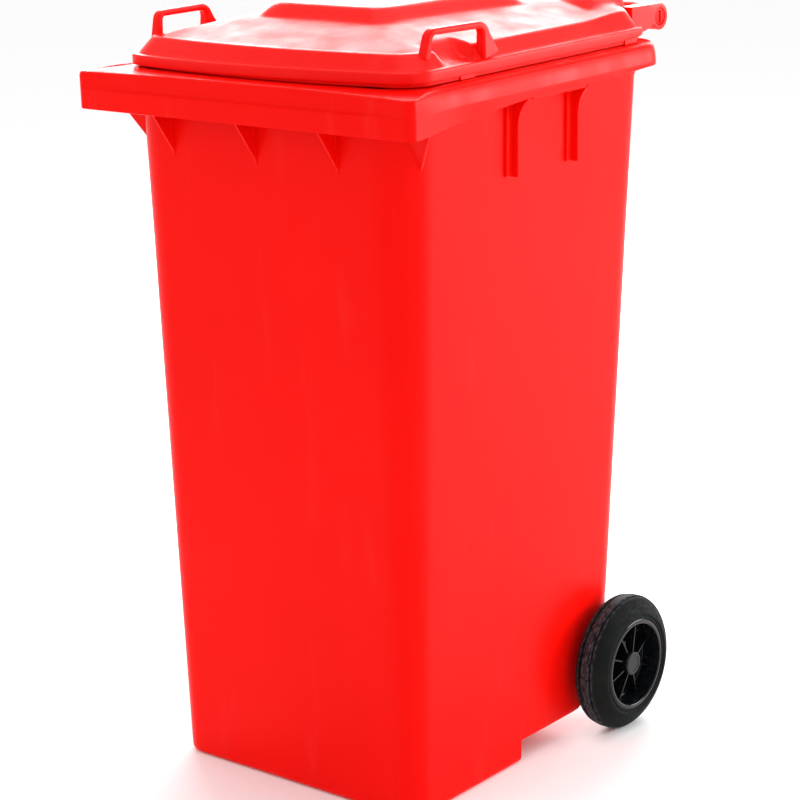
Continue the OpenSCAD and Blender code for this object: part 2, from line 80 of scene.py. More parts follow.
# the first point of a ring that lies behind the step in the floor
FIRST_RAISED = len(FRONT_STEPS) - 1 + CORNER_STEPS + SIDE_STEPS.index(0.583)


def arc(cx, cy, r, start, end, steps):
    """Points on a circle's arc, from the start angle to the end angle in degrees."""
    turns = [math.radians(start + (end - start) * i / steps) for i in range(steps + 1)]
    return [(cx + r * math.cos(a), cy + r * math.sin(a)) for a in turns]


def mirrored(right):
    """A closed outline from its right half, which starts and ends on the middle plane."""
    return right + [(-x, y) for x, y in reversed(right[1:-1])]


def wall_plan(half, front, back, r_front, r_back):
    """A rectangle with rounded corners, seen from above."""
    right = [((half - r_front) * s, front) for s in FRONT_STEPS]
    right += arc(half - r_front, front + r_front, r_front, -90, 0, CORNER_STEPS)[1:]
    start, end = front + r_front, back - r_back
    right += [(half, start + (end - start) * t) for t in SIDE_STEPS[1:]]
    right += arc(half - r_back, back - r_back, r_back, 0, 90, CORNER_STEPS)[1:]
    right += [((half - r_back) * s, back) for s in reversed(FRONT_STEPS[:-1])]
    return mirrored(right)


def between(x, table):
    """The value at x on a line through the table's (x, value) points."""
    if x <= table[0][0]:
        return table[0][1]
    for (x0, v0), (x1, v1) in zip(table, table[1:]):
        if x <= x1:
            return v0 + (v1 - v0) * (x - x0) / (x1 - x0)
    return table[-1][1]


def ease(t):
    t = min(1, max(0, t))
    return t * t * (3 - 2 * t)


def wall_ring(z, inset, back=None, corner=0.048):
    """A ring of the tapered wall at height z, inset from its outer face."""
    half = mouth_half - side_taper * (1 - z / rim_top) - inset
    front = mouth_front + front_taper * (1 - z / rim_top) + inset
    back = (0.1775 + 0.0702 * z / rim_top if back is None else back) - inset
    r_front = 0.032 + 0.025 * z / rim_top
    return wall_plan(half, front, back, max(0.004, r_front - inset), max(0.004, corner - inset))


def bay_ring(z, inset):
    """A ring of the low part of the body, in front of the wheel bay."""
    return wall_ring(z, inset, bay_back, bay_corner)


def raised(ring_xy, z, floor_z, blend_z):
    """Points of a ring at height z; behind the step in the floor they stand 30 mm
    higher, and more along the rear edge, which is rounded up."""
    n = len(ring_xy)
    share = max(0, 1 - (z - floor_z) / (blend_z - floor_z))
    made = []
    for i, (x, y) in enumerate(ring_xy):
        higher = floor_step + 0.016 * max(0, (y - 0.087) / 0.030) ** 2
        made.append((x, y, z + (higher * share if FIRST_RAISED <= min(i, n - i) else 0)))
    return made


def level(ring_xy, z):
    return [(x, y, z) for x, y in ring_xy]


def lip_width(y):
    """Half the lip's width: full at the front, narrower along the sides."""
    t = min(1, max(0, (y - front_face - 0.011) / 0.118))
    return lip_half + (side_lip_half - lip_half) * (1 - (1 - t) ** 1.4)


def lip_ring(inset, rear_inset=None, recess=0.0, lean=0.0):
    """A ring of the comb lip; recess sets the front's middle back and lean narrows the sides."""
    rear_inset = inset if rear_inset is None else rear_inset
    r, r_back = 0.012, 0.050
    right = [((lip_half - r) * s, front_face + inset + recess * ease((1.02 - s) / 0.17))
             for s in FRONT_STEPS]
    right += arc(lip_half - r, front_face + r, r - inset, -90, 0, CORNER_STEPS)[1:]
    start, end = front_face + r, lip_back - r_back
    for t in SIDE_STEPS[1:]:
        y = start + (end - start) * t
        right.append((lip_width(y) - inset - lean * ease((y - start) / 0.08), y))
    for x, y in arc(side_lip_half - r_back, end, r_back, 0, 90, CORNER_STEPS)[1:]:
        k = 1 - (side_lip_half - x) / r_back * 0.5
        right.append((x - inset * k - lean * (x - 0.226) / r_back,
                      y - rear_inset * (y - lip_back + r_back) / r_back))
    right += [((side_lip_half - r_back) * s, lip_back - rear_inset)
              for s in reversed(FRONT_STEPS[:-1])]
    return mirrored(right)


def skirt_foot(y):
    """The height of the lower edge of the lip's skirt."""
    return between(y, [(-0.3045, 0.951), (-0.0745, 0.968), (0.100, 0.968), (0.200, 0.973)])


def droop(x, y):
    """How far the front of the lip hangs lower towards its corners."""
    return 0.0025 * ease((abs(x) - 0.10) / 0.19) * ease((-0.29 - y) / 0.04)


def lip_level(ring_xy, z):
    return [(x, y, z - droop(x, y)) for x, y in ring_xy]


def under_lip(open_ring, closed_ring):
    """The underside of the lip is an open channel at the front and sides, closed at the back."""
    made = []
    for a, b in zip(open_ring, closed_ring):
        c = 1 - ease((a[1] - 0.196) / 0.035)
        made.append(tuple(c * p + (1 - c) * q for p, q in zip(a, b)))
    return made


def skirt_level(ring_xy, up):
    return [(x, y, skirt_foot(y) + up) for x, y in ring_xy]


def new_form():
    return [], []


def add_rings(form, rings, loop=False):
    """Joins rings of as many points by quads; with loop, the last ring joins the first."""
    points, faces = form
    start, n = len(points), len(rings[0])
    for ring in rings:
        points.extend(ring)
    for i in range(len(rings) if loop else len(rings) - 1):
        below, above = start + i * n, start + (i + 1) % len(rings) * n
        for j in range(n):
            k = (j + 1) % n
            faces.append((below + j, below + k, above + k, above + j))
    return start


def add_bar(form, rings):
    """Joins rings as add_rings does, and closes the first one and the last one."""
    start, n = add_rings(form, rings), len(rings[0])
    end = start + n * (len(rings) - 1)
    form[1].extend([tuple(range(start, start + n)), tuple(range(end, end + n))])


def add_sheet(form, start, across, along, base=None, fade_along=None, fade_across=None,
              height=None):
    """Fills the ring that starts at point start with a grid of 2 x across by along quads.
    base gives a grid point's place before the ring pulls on it, and the fades say how much
    of the pull of each pair of sides is left at a row or a column."""
    points, faces = form
    wide = 2 * across
    n = 2 * (wide + along)
    name = {}
    for i in range(wide + 1):
        name[i, 0] = start + (i - across) % n
        name[i, along] = start + across + along + (wide - i)
    for j in range(along + 1):
        name[wide, j] = start + across + j
        name[0, j] = start + (n - across - j) % n
    edge = {k: Vector(points[v]) for k, v in name.items()}
    if base is None:
        def base(i, j):
            u, v = i / wide, j / along
            return ((edge[0, 0] * (1 - u) + edge[wide, 0] * u) * (1 - v)
                    + (edge[0, along] * (1 - u) + edge[wide, along] * u) * v)

        def fade_along(j):
            return 1 - j / along, j / along

        def fade_across(i):
            return 1 - i / wide, i / wide
    pull = {k: edge[k] - base(*k) for k in edge}
    for i in range(1, wide):
        s0, s1 = fade_across(i)
        for j in range(1, along):
            f0, f1 = fade_along(j)
            p = (base(i, j) + f0 * pull[i, 0] + f1 * pull[i, along]
                 + s0 * pull[0, j] + s1 * pull[wide, j]
                 - f0 * s0 * pull[0, 0] - f0 * s1 * pull[wide, 0]
                 - f1 * s0 * pull[0, along] - f1 * s1 * pull[wide, along])
            name[i, j] = len(points)
            points.append((p.x, p.y, height(p.x, p.y) if height else p.z))
    for i in range(wide):
        for j in range(along):
            faces.append((name[i, j], name[i + 1, j], name[i + 1, j + 1], name[i, j + 1]))


def add_plate(form, outline, low, high, along="x", soft=0.0008):
    """A flat plate with softened edges: the outline is in the plane across the given axis."""
    place = {"x": lambda t, u, v: (t, u, v), "y": lambda t, u, v: (u, t, v),
             "z": lambda t, u, v: (u, v, t)}[along]
    bm = bmesh.new()
    a = [bm.verts.new(place(low, u, v)) for u, v in outline]
    b = [bm.verts.new(place(high, u, v)) for u, v in outline]
    bm.faces.new(a)
    bm.faces.new(b)
    n = len(outline)
    for i in range(n):
        bm.faces.new((a[i], a[(i + 1) % n], b[(i + 1) % n], b[i]))
    bmesh.ops.recalc_face_normals(bm, faces=bm.faces)
    sharp = [e for e in bm.edges if e.calc_face_angle(0) > math.radians(25)]
    bmesh.ops.bevel(bm, geom=sharp, offset=soft, offset_type="OFFSET", segments=2, profile=0.5,
                    affect="EDGES", clamp_overlap=True)
    bm.verts.index_update()
    points, faces = form
    start = len(points)
    points.extend(tuple(v.co) for v in bm.verts)
    faces.extend(tuple(start + v.index for v in f.verts) for f in bm.faces)
    bm.free()


def add_turned(form, section, y, z, steps=96, x=None):
    """A ring or a solid turned about an axle along X, or about an upright line at x and y.
    The section is a list of (radius, place along the line). One that starts and ends on the
    line closes on it, any other closes on itself."""
    turns = [2 * math.pi * i / steps for i in range(steps)]

    def place(r, along, a):
        if x is None:
            return (along, y + r * math.cos(a), z + r * math.sin(a))
        return (x + r * math.cos(a), y + r * math.sin(a), z + along)

    solid = section[0][0] == 0 and section[-1][0] == 0
    used = section[1:-1] if solid else section
    rings = [[place(r, along, a) for a in turns] for r, along in used]
    start = add_rings(form, rings, loop=not solid)
    if solid:
        points, faces = form
        for along, ring in ((section[0][1], 0), (section[-1][1], len(used) - 1)):
            points.append(place(0, along, 0))
            first = start + ring * steps
            faces.extend((first + i, first + (i + 1) % steps, len(points) - 1)
                         for i in range(steps))


def copied(form, flip=False, turn=0.0, y=0.0, z=0.0):
    """A copy of a form, mirrored to the other side or turned about a line along X."""
    c, s = math.cos(turn), math.sin(turn)
    points = [(-px if flip else px, y + (py - y) * c - (pz - z) * s,
               z + (py - y) * s + (pz - z) * c) for px, py, pz in form[0]]
    return points, [tuple(reversed(f)) if flip else f for f in form[1]]


def add_form(form, other):
    start = len(form[0])
    form[0].extend(other[0])
    form[1].extend(tuple(start + i for i in f) for f in other[1])


def bare_mesh(form):
    mesh = bpy.data.meshes.new("form")
    mesh.from_pydata([tuple(p) for p in form[0]], [], form[1])
    bm = bmesh.new()
    bm.from_mesh(mesh)
    bmesh.ops.remove_doubles(bm, verts=bm.verts, dist=1e-7)
    bmesh.ops.recalc_face_normals(bm, faces=bm.faces)
    bm.to_mesh(mesh)
    bm.free()
    return mesh


def cut(form, cutter):
    """The form with the cutter's solid taken out of it."""
    blank = bpy.data.objects.new("blank", bare_mesh(form))
    tool = bpy.data.objects.new("cutter", bare_mesh(cutter))
    for made in (blank, tool):
        bpy.context.collection.objects.link(made)
    boolean = blank.modifiers.new("cut", "BOOLEAN")
    boolean.operation, boolean.object, boolean.solver = "DIFFERENCE", tool, "EXACT"
    bpy.context.view_layer.update()
    graph = bpy.context.evaluated_depsgraph_get()
    mesh = bpy.data.meshes.new_from_object(blank.evaluated_get(graph))
    done = ([tuple(v.co) for v in mesh.vertices], [tuple(f.vertices) for f in mesh.polygons])
    bpy.data.objects.remove(blank)
    bpy.data.objects.remove(tool)
    return done


def make_piece(name, form, material, body, nodes, sharp=32):
    """One mesh object from a form, finished and tied to the frame."""
    mesh = bare_mesh(form)
    mesh.name = name
    mesh.shade_smooth()
    mesh.set_sharp_from_angle(angle=math.radians(sharp))
    mesh.materials.append(material)
    piece = bpy.data.objects.new(name, mesh)
    bpy.context.collection.objects.link(piece)
    even = piece.modifiers.new("even shading", "WEIGHTED_NORMAL")
    even.keep_sharp = True
    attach(piece, body)
    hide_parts(*nodes)
    return piece


def body_shell(form):
    """The floor, the walls and the lip as one skin: up the outside, over the rim, down inside."""
    across = len(FRONT_STEPS) - 1 + CORNER_STEPS // 2
    along = len(SIDE_STEPS) - 1 + CORNER_STEPS
    outer = []
    for turn in (0, 22, 45, 68, 90):
        a = math.radians(turn)
        z = 0.010 * (1 - math.cos(a))
        outer.append(raised(bay_ring(z, 0.010 * (1 - math.sin(a))), z, 0, 0.09))
    outer += [raised(bay_ring(z, 0), z, 0, 0.09) for z in (0.02, 0.035, 0.06)]
    outer += [level(bay_ring(z, 0), z) for z in (0.09, 0.13, 0.165, 0.181)]
    outer += [level(wall_ring(z, 0, back, bay_corner), z)
              for z, back in ((0.1865, 0.1185), (0.1893, 0.1225), (0.190, 0.128))]
    outer += [level(wall_ring(z, 0, back), z)
              for z, back in ((0.190, 0.1830), (0.1912, 0.1880), (0.1935, 0.1905))]
    outer += [level(wall_ring(z, 0), z)
              for z in (0.198, 0.214, 0.25, 0.30, 0.36, 0.42, 0.5, 0.6, 0.7, 0.8, 0.88, 0.93)]
    closed = [level(wall_ring(z, inset), 0.968 + up)
              for z, inset, up in ((0.952, 0, -0.015), (0.955, 0, -0.012), (0.958, -0.001, -0.009),
                                   (0.962, -0.002, -0.006), (0.965, -0.003, -0.003))]
    opened = [level(wall_ring(0.994, 0), 0.992), level(wall_ring(0.9975, -0.0015), 0.9968),
              level(wall_ring(1.0, -0.006), 0.9995), level(lip_ring(0.0042, 0.002), 0.999),
              skirt_level(lip_ring(0.004, 0.002), 0.0012)]
    outer += [under_lip(a, b) for a, b in zip(opened, closed)]
    outer += [skirt_level(lip_ring(0.0028, 0.002), 0), skirt_level(lip_ring(0.0012, 0.0012), 0),
              skirt_level(lip_ring(0.0003, 0.0003), 0.0004), skirt_level(lip_ring(0), 0.0014)]
    outer += [level(lip_ring(0), 0.9775), level(lip_ring(0, None, 0.0004), 0.9785),
              level(lip_ring(0, None, 0.0032, 0.0002), 0.9802),
              level(lip_ring(0, None, 0.0037, 0.0004), 0.9812)]
    outer += [lip_level(lip_ring(inset, None, 0.0037, lean), z)
              for inset, lean, z in ((0, 0.0015, 0.990), (0, 0.0048, 0.9990), (0.0004, 0.006, 1.0012),
                                     (0.0012, 0.0072, 1.0030), (0.0026, 0.0082, 1.0043),
                                     (0.0045, 0.0090, 1.0049), (0.0075, 0.0095, 1.005))]
    outer += [level(wall_ring(rim_top, 0.001), 1.005), level(wall_ring(rim_top, 0.0026), 1.0045),
              level(wall_ring(rim_top, 0.0037), 1.0033), level(wall_ring(rim_top, wall), 1.001)]
    inner = [level(wall_ring(z, wall), z)
             for z in (0.97, 0.93, 0.85, 0.7, 0.5, 0.36, 0.25, 0.216, 0.203)]
    inner += [level(wall_ring(z, wall, back), z)
              for z, back in ((0.1965, 0.1870), (0.1942, 0.180), (0.194, 0.128))]
    inner += [level(wall_ring(z, wall, back, bay_corner), z)
              for z, back in ((0.1925, 0.121), (0.189, 0.1175))]
    inner += [level(bay_ring(z, wall), z) for z in (0.165, 0.13, 0.095)]
    inner += [raised(bay_ring(z, wall), z, 0.006, 0.09) for z in (0.065, 0.04, 0.018)]
    for turn in (25, 50, 75, 90):
        a = math.radians(turn)
        z = 0.006 + 0.010 * (1 - math.sin(a))
        inner.append(raised(bay_ring(z, wall + 0.010 * (1 - math.cos(a))), z, 0.006, 0.09))
    start = add_rings(form, outer + inner)
    add_sheet(form, start, across, along)
    add_sheet(form, start + (len(outer) + len(inner) - 1) * len(inner[0]), across, along)


def lip_gussets(form):
    """Thin fins between the front wall and the lip, and a wedge at each front corner."""
    for x in (-0.160, -0.010, 0.132):
        add_plate(form, [(front_face + 0.006, 0.999), (front_face + 0.006, 0.955),
                         (-0.3015, 0.892), (-0.299, 0.892), (-0.299, 0.999)],
                  x - 0.0018, x + 0.0018)
        add_plate(form, [(-0.3085, 0.9975), (-0.3085, 0.925), (-0.3035, 0.889), (-0.300, 0.889),
                         (-0.300, 0.9975)], x - 0.0026, x + 0.0026, soft=0.0012)
    for side in (-1, 1):
        corner = [(side * 0.231, -0.287, 0.950), (side * 0.272, -0.287, 0.950),
                  (side * 0.238, -0.266, 0.895)]
        raised_corner = [(x, y, 0.999) for x, y, z in corner[:2]]
        front = [corner[2], corner[0], raised_corner[0], raised_corner[1], corner[1]]
        add_bar(form, [front, [(x, y + 0.004, z) for x, y, z in front]])


def side_ribs(form):
    """Two channel ribs a side: a flat face with a fin on its rear edge that flares to the skirt."""
    for side in (-1, 1):
        for y in (-0.0765, 0.0605):
            flare = [(0.2360, 0.861), (0.2545, 0.861), (0.2562, 0.930), (0.2575, 0.939),
                     (0.2605, 0.948), (0.2650, 0.956), (0.2700, 0.962), (0.2745, 0.966),
                     (0.2722, 0.984), (0.2600, 0.997), (0.2360, 0.999)]
            add_plate(form, [(side * x, z) for x, z in flare], y - 0.004, y, along="y",
                      soft=0.0009)
            add_plate(form, [(side * x, z) for x, z in
                             ((0.2380, 0.862), (0.2462, 0.8625), (0.2492, 0.968), (0.2492, 0.997),
                              (0.2400, 0.997))], y - 0.017, y - 0.002, along="y", soft=0.0012)
        lip = sorted((side * 0.2700, side * 0.2742))
        add_plate(form, [(-0.070, 0.9665), (-0.067, 0.9645), (0.050, 0.9645), (0.054, 0.9665),
                         (0.054, 0.972), (-0.070, 0.972)], *lip, soft=0.0006)


def handle_bar(form):
    """A round grip between two brackets, which carry the hinge pins too."""
    for side in (-1, 1):
        outline = [(0.241, 0.966), (0.252, 0.9705), (0.300, 1.0035)]
        outline += arc(bar_y, hinge.z, 0.017, -75, 90, 12)
        outline += arc(hinge.y, hinge.z, 0.018, 90, 165, 6)
        outline += [(0.2625, 1.0047), (0.241, 1.0047)]
        add_plate(form, outline, *sorted((side * 0.178, side * 0.198)), soft=0.0022)
        root = [(0.236, 0.955), (0.2545, 0.966), (0.2545, 1.003), (0.236, 1.003)]
        add_plate(form, root, *sorted((side * 0.174, side * 0.1985)), soft=0.002)
    grip = [(0, -0.190), (0.014, -0.190), (0.0168, -0.176), (0.0162, -0.150), (0.0160, -0.060),
            (0.0160, 0.060), (0.0162, 0.150), (0.0168, 0.176), (0.014, 0.190), (0, 0.190)]
    add_turned(form, grip, bar_y, hinge.z, 48)


def bay_sides(form):
    """Behind the low part of the body its side walls run on over the wheels."""
    line = [(0.2231, y, (1, 0), foot) for y, foot in
            ((0.1040, 0.056), (0.1100, 0.066), (0.1150, 0.080), (0.1185, 0.096), (0.1220, 0.116),
             (0.1270, 0.136), (0.1340, 0.146), (0.1425, 0.150))]
    for turn in range(15, 91, 15):
        c, s = math.cos(math.radians(turn)), math.sin(math.radians(turn))
        line.append((0.1751 + 0.048 * c, 0.1425 + 0.048 * s, (c, s), 0.150))
    for side in (-1, 1):
        rings = []
        for x, y, (nx, ny), foot in line:
            ring = []
            for z, back in ((foot, 0), (0.110 + foot * 0.43, 0), (0.1925, 0), (0.1925, wall),
                            (0.110 + foot * 0.43, wall), (foot, wall)):
                draft = 0.0279 * (bay_top - z)
                ring.append((side * (x - draft - nx * back), y - ny * back, z))
            rings.append(ring)
        add_bar(form, rings)


def axle_bay(form):
    """Cheeks and webs that hold the axle across the bay, with a boss round it at each cheek
    and each inner web. The plates are whole, and the axle passes through them."""
    for side in (-1, 1):
        for x0, x1, soft in ((0.184, 0.198, 0.002), (0.070, 0.074, 0.0008), (0.128, 0.132, 0.0008)):
            outline = [(0.095, 0.192), (0.095, 0.052), (0.118, 0.050), (0.150, 0.073)]
            outline += arc(axle.y, axle.z, 0.024, -75, 15, 8)
            outline += [(0.175, 0.118), (0.175, 0.192)]
            if x0 < 0.1:
                outline[1] = (0.110, 0.052)
            add_plate(form, outline, *sorted((side * x0, side * x1)), soft=soft)
        for x0, x1 in ((0.1835, 0.2165), (0.064, 0.080)):
            a, b = sorted((side * x0, side * x1))
            add_turned(form, [(axle_hole, a + 0.001), (0.018, a), (0.019, a + 0.001),
                              (0.019, b - 0.001), (0.018, b), (axle_hole, b - 0.001)],
                       axle.y, axle.z, 40)


def new_finish(name, colour, roughness, ior=1.49, gloss=0.5):
    """A new material: its node tree and its main shader, with the even values set on it."""
    finish = bpy.data.materials.new(name)
    finish.use_nodes = True
    tree = finish.node_tree
    shader = tree.nodes["Principled BSDF"]
    shader.inputs["Base Color"].default_value = (*colour, 1)
    shader.inputs["Roughness"].default_value = roughness
    shader.inputs["IOR"].default_value = ior
    shader.inputs["Specular IOR Level"].default_value = gloss
    finish.diffuse_color = (*colour, 1)
    return finish, tree, shader


def noise(tree, scale, detail, stretch=(1, 1, 1)):
    """The value of a noise pattern in the object's own coordinates."""
    where = tree.nodes.new("ShaderNodeTexCoord")
    turn = tree.nodes.new("ShaderNodeMapping")
    turn.inputs["Scale"].default_value = stretch
    tree.links.new(where.outputs["Object"], turn.inputs["Vector"])
    made = tree.nodes.new("ShaderNodeTexNoise")
    made.inputs["Scale"].default_value = scale
    made.inputs["Detail"].default_value = detail
    tree.links.new(turn.outputs["Vector"], made.inputs["Vector"])
    return made.outputs["Fac"]


def spread(tree, value, low, high, to_low, to_high):
    """Maps a value from low..high to to_low..to_high."""
    made = tree.nodes.new("ShaderNodeMapRange")
    for key, number in zip(("From Min", "From Max", "To Min", "To Max"),
                           (low, high, to_low, to_high)):
        made.inputs[key].default_value = number
    tree.links.new(value, made.inputs["Value"])
    return made.outputs["Result"]


def blend_colours(tree, factor, first, second):
    """Two colours, or a colour and a link, mixed by a value."""
    made = tree.nodes.new("ShaderNodeMix")
    made.data_type = "RGBA"
    for socket, colour in zip((made.inputs[6], made.inputs[7]), (first, second)):
        if isinstance(colour, tuple):
            socket.default_value = (*colour, 1)
        else:
            tree.links.new(colour, socket)
    tree.links.new(factor, made.inputs["Factor"])
    return made.outputs[2]


def dress(tree, shader, colour, roughness, layers):
    """Links the colour and the roughness, and stacks bump layers, each (height link,
    strength, distance in metres)."""
    tree.links.new(colour, shader.inputs["Base Color"])
    tree.links.new(roughness, shader.inputs["Roughness"])
    last = None
    for height, strength, distance in layers:
        bump = tree.nodes.new("ShaderNodeBump")
        bump.inputs["Strength"].default_value = strength
        bump.inputs["Distance"].default_value = distance
        tree.links.new(height, bump.inputs["Height"])
        if last:
            tree.links.new(last, bump.inputs["Normal"])
        last = bump.outputs["Normal"]
    tree.links.new(last, shader.inputs["Normal"])


def moulded_red(name, colour, deep, gloss):
    """Satin HDPE: a spark-eroded grain, faint flow clouds, and dull rubs from use."""
    finish, tree, shader = new_finish(name, colour, 0.36, gloss=gloss)
    clouds = noise(tree, 3.2, 3)
    grain = noise(tree, 1500, 1)
    flow = noise(tree, 7, 4, (1, 1, 0.25))
    rubs = noise(tree, 26, 6, (1, 1, 0.18))
    tint = blend_colours(tree, spread(tree, clouds, 0.3, 0.7, 0, 1), colour, deep)
    worn = spread(tree, rubs, 0.60, 0.74, 0, 0.10)
    pale = tuple(min(1, c + 0.08) for c in colour)
    dress(tree, shader, blend_colours(tree, worn, tint, pale),
          spread(tree, rubs, 0.35, 0.75, 0.30, 0.46), [(flow, 0.12, 0.002), (grain, 0.10, 0.0002)])
    return finish


body_red = moulded_red("red_hdpe_body", (0.89, 0.0036, 0.0012), (0.84, 0.0022, 0.0006), 0.06)
body_form = new_form()
body_shell(body_form)
lip_gussets(body_form)
side_ribs(body_form)
handle_bar(body_form)
bay_sides(body_form)
axle_bay(body_form)
make_piece("bin_body", body_form, body_red, "frame", ["body"])


# ---------------------------------------------------------------- axle, washers and catches
# The axle is a turned steel bar, zinc plated, with a groove near each end. A steel washer
# stands between each cheek and its wheel. In each hub a nylon catch pin on a small wound
# spring drops into the groove and holds the wheel on.
def plated_steel(name, colour, roughness, scale):
    """Bare or zinc plated steel: fine marks of turning or drawing, and dull stains."""
    finish, tree, shader = new_finish(name, colour, roughness, 2.5)
    shader.inputs["Metallic"].default_value = 1.0
    turned = noise(tree, scale, 3, (1, 0.05, 0.05))
    stain = noise(tree, 60, 5)
    dark = tuple(c * 0.62 for c in colour)
    stained = spread(tree, stain, 0.42, 0.68, 0, 0.7)
    streaks = spread(tree, turned, 0.3, 0.7, roughness - 0.08, roughness + 0.14)
    dress(tree, shader, blend_colours(tree, stained, colour, dark), streaks,
          [(turned, 0.25, 0.0001)])
    return finish


def moulded_grey(name, colour, roughness):
    """Nylon and polypropylene small parts: satin, with a fine grain and pale flow marks."""
    finish, tree, shader = new_finish(name, colour, roughness, gloss=0.15)
    flow = noise(tree, 90, 4)
    grain = noise(tree, 1800, 1)
    pale = tuple(c * 1.5 + 0.01 for c in colour)
    tint = blend_colours(tree, spread(tree, flow, 0.4, 0.75, 0, 0.6), colour, pale)
    dull = spread(tree, flow, 0.3, 0.7, roughness - 0.07, roughness + 0.1)
    dress(tree, shader, tint, dull, [(grain, 0.12, 0.0001)])
    return finish


zinc = plated_steel("zinc_plated_steel", (0.46, 0.47, 0.48), 0.36, 900)
spring_wire = plated_steel("spring_wire", (0.50, 0.50, 0.49), 0.26, 1400)
catch_nylon = moulded_grey("catch_nylon", (0.045, 0.048, 0.052), 0.42)
both_sides = (("right", False), ("left", True))
for node, finish in (("axle", zinc), ("axle_washer_left", zinc), ("axle_washer_right", zinc),
                     ("catch_pin_left", catch_nylon), ("catch_pin_right", catch_nylon)):
    cad = bpy.data.objects[node]
    for place in cad.material_slots:
        place.material = finish


# Each spring is wound in six turns, with the end turns laid close.
wire, spring_steps = 0.0005, 20
spring_low, spring_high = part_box("catch_spring_right")
coil_x = (spring_low.x + spring_high.x) / 2
coil_radius = (spring_high.x - spring_low.x) / 2 - wire
climb = [(0, spring_low.z + wire), (1, spring_low.z + 3.1 * wire),
         (5, spring_high.z - 3.1 * wire), (6, spring_high.z - wire)]
spring_rings = []
for i in range(6 * spring_steps + 1):
    a = 2 * math.pi * i / spring_steps
    middle_z = between(i / spring_steps, climb)
    spring_rings.append([(coil_x + r * math.cos(a), axle.y + r * math.sin(a), middle_z + up)
                         for r, up in arc(coil_radius, 0, wire, 0, 315, 7)])
spring_form = new_form()
add_bar(spring_form, spring_rings)
for side, flip in both_sides:
    spring = make_piece("catch_spring_detail_" + side, copied(spring_form, flip), spring_wire,
                        "wheel_" + side, ["catch_spring_" + side], sharp=60)
    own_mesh(spring)


# ---------------------------------------------------------------- wheel rims
# Each rim is moulded in glossy black polypropylene: a stepped ring, a web set deep in it,
# thin radial spokes, the hub, and an upright boss over the hub that holds the catch.
wheel_in = 0.236


def wheel_section(section):
    """A section whose places along the axle are counted from the wheel's inner face."""
    return [(r, wheel_in + along) for r, along in section]


def gloss_black(name):
    """Polished black polypropylene: faint waves from the mould, and patches of dust."""
    black = (0.004, 0.005, 0.006)
    finish, tree, shader = new_finish(name, black, 0.13, gloss=0.25)
    flow = noise(tree, 45, 3)
    dust = noise(tree, 160, 3)
    dusty = spread(tree, dust, 0.52, 0.72, 0, 0.3)
    tint = blend_colours(tree, dusty, black, (0.020, 0.022, 0.023))
    dress(tree, shader, tint, spread(tree, dust, 0.4, 0.72, 0.12, 0.26), [(flow, 0.06, 0.0005)])
    return finish


catch_x = 0.2555
rim_form = new_form()
add_turned(rim_form, wheel_section([
    (0.0680, 0.0030), (0.0680, 0.0446), (0.0675, 0.0458), (0.0662, 0.0466), (0.0640, 0.0470),
    (0.0624, 0.0468), (0.0614, 0.0460), (0.0610, 0.0444), (0.0604, 0.0400), (0.0590, 0.0240),
    (0.0584, 0.0204), (0.0570, 0.0186), (0.0545, 0.0180), (0.0300, 0.0178), (0.0160, 0.0180),
    (0.0160, 0.0140), (0.0560, 0.0140), (0.0592, 0.0128), (0.0606, 0.0100), (0.0612, 0.0030),
    (0.0620, 0.0025), (0.0672, 0.0025)]), axle.y, axle.z, 128)
hub_form = new_form()
add_turned(hub_form, [(0.01008, 0.2186), (0.0106, 0.2176), (0.0162, 0.2176), (0.0170, 0.2184),
                      (0.0170, 0.2738), (0.0163, 0.2750), (0.0104, 0.2750), (0.01008, 0.2744)],
           axle.y, axle.z, 64)
boss_form = new_form()
add_turned(boss_form, [(0, 0.0120), (0.0078, 0.0120), (0.0078, 0.0316), (0.0070, 0.0324),
                       (0, 0.0324)], axle.y, axle.z, 40, x=catch_x)
well_form = new_form()
add_turned(well_form, [(0, 0.0040), (0.0048, 0.0040), (0.0048, 0.0293), (0, 0.0293)],
           axle.y, axle.z, 40, x=catch_x)
spoke_form = new_form()
spoke = [(0.0150, 0.0172), (0.0150, 0.0362), (0.0180, 0.0362), (0.0560, 0.0312), (0.0606, 0.0318),
         (0.0596, 0.0172)]
add_plate(spoke_form, [(wheel_in + along, axle.y + r) for r, along in spoke],
          axle.z - 0.0012, axle.z + 0.0012, along="z", soft=0.0006)
for i in range(8):
    add_form(rim_form, copied(spoke_form, turn=math.radians(22.5 + 45 * i), y=axle.y, z=axle.z))
# the catch's well is bored in the hub and the boss only; the web that crosses it is whole
for solid in (hub_form, boss_form):
    add_form(rim_form, cut(solid, well_form))
rim_black = gloss_black("gloss_black_pp")
for side, flip in both_sides:
    make_piece("wheel_rim_detail_" + side, copied(rim_form, flip), rim_black, "wheel_" + side,
               ["wheel_rim_" + side])


